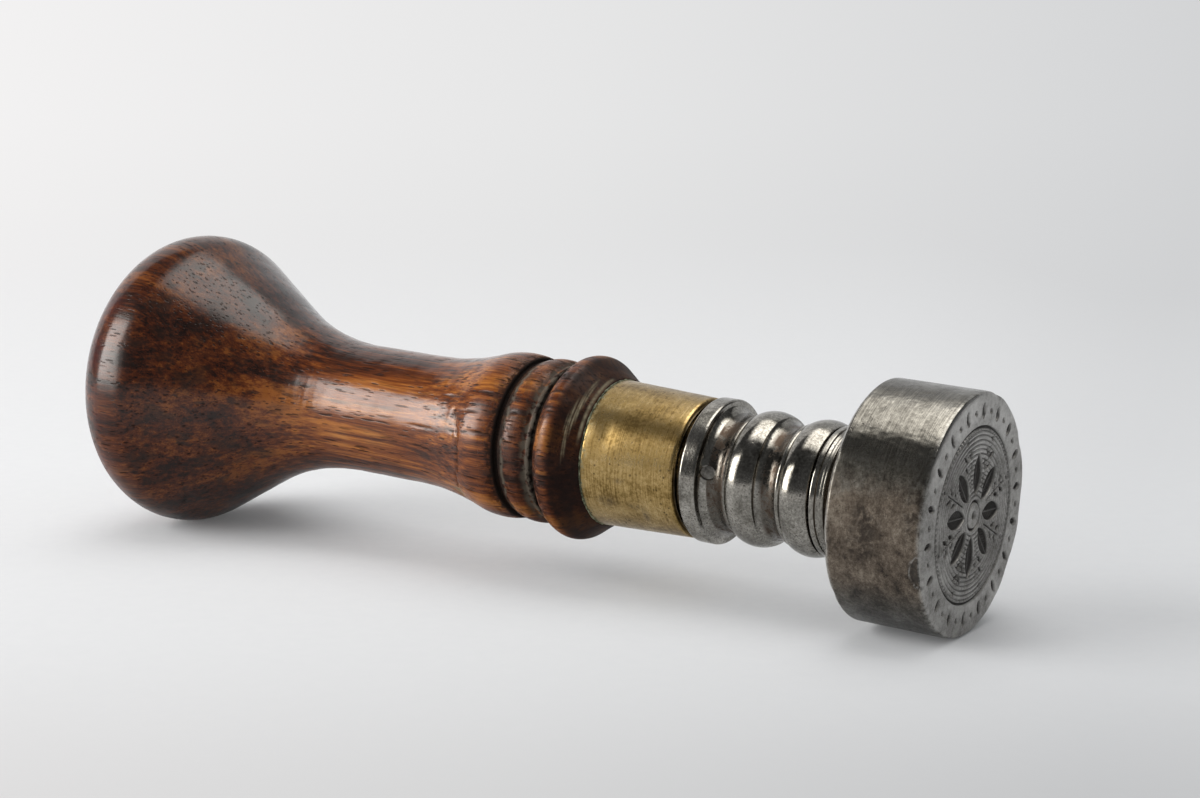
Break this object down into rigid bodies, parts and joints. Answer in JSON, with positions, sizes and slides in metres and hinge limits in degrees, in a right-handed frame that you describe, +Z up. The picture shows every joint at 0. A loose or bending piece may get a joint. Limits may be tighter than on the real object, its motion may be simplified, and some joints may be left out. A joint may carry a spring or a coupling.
{
  "type": "desk seal",
  "caption": "Hand seal with an engraved round steel die on a turned steel stem, a tapered brass ferrule and a turned hardwood handle with a mushroom knob.",
  "frame": {"origin": "on the surface that the seal lies on, below the middle of its outer box", "axes": "+Z up from that surface; +X along the seal, from the knob towards the engraved die; +Y to the left of the die's outward direction"},
  "size_m": [0.166, 0.052, 0.052],
  "materials": {
    "handle_wood": "dark reddish brown hardwood with open pores, waxed, worn and darkened by handling",
    "ferrule_brass": "old brass, satin, with dark specks and a little green crust at the seat",
    "stem_steel": "turned and polished steel, pitted, brown in the coves",
    "pin_steel": "filed flush, dark brown",
    "die_steel": "dull dark steel with a mottled brown patina and a bare grey engraved face"
  },
  "bodies": {
    "root": {"handle": "handle_wood", "ferrule": "ferrule_brass", "stem": "stem_steel", "tang": "stem_steel", "cross_pin": "pin_steel", "die": "die_steel"}
  },
  "joints": []
}
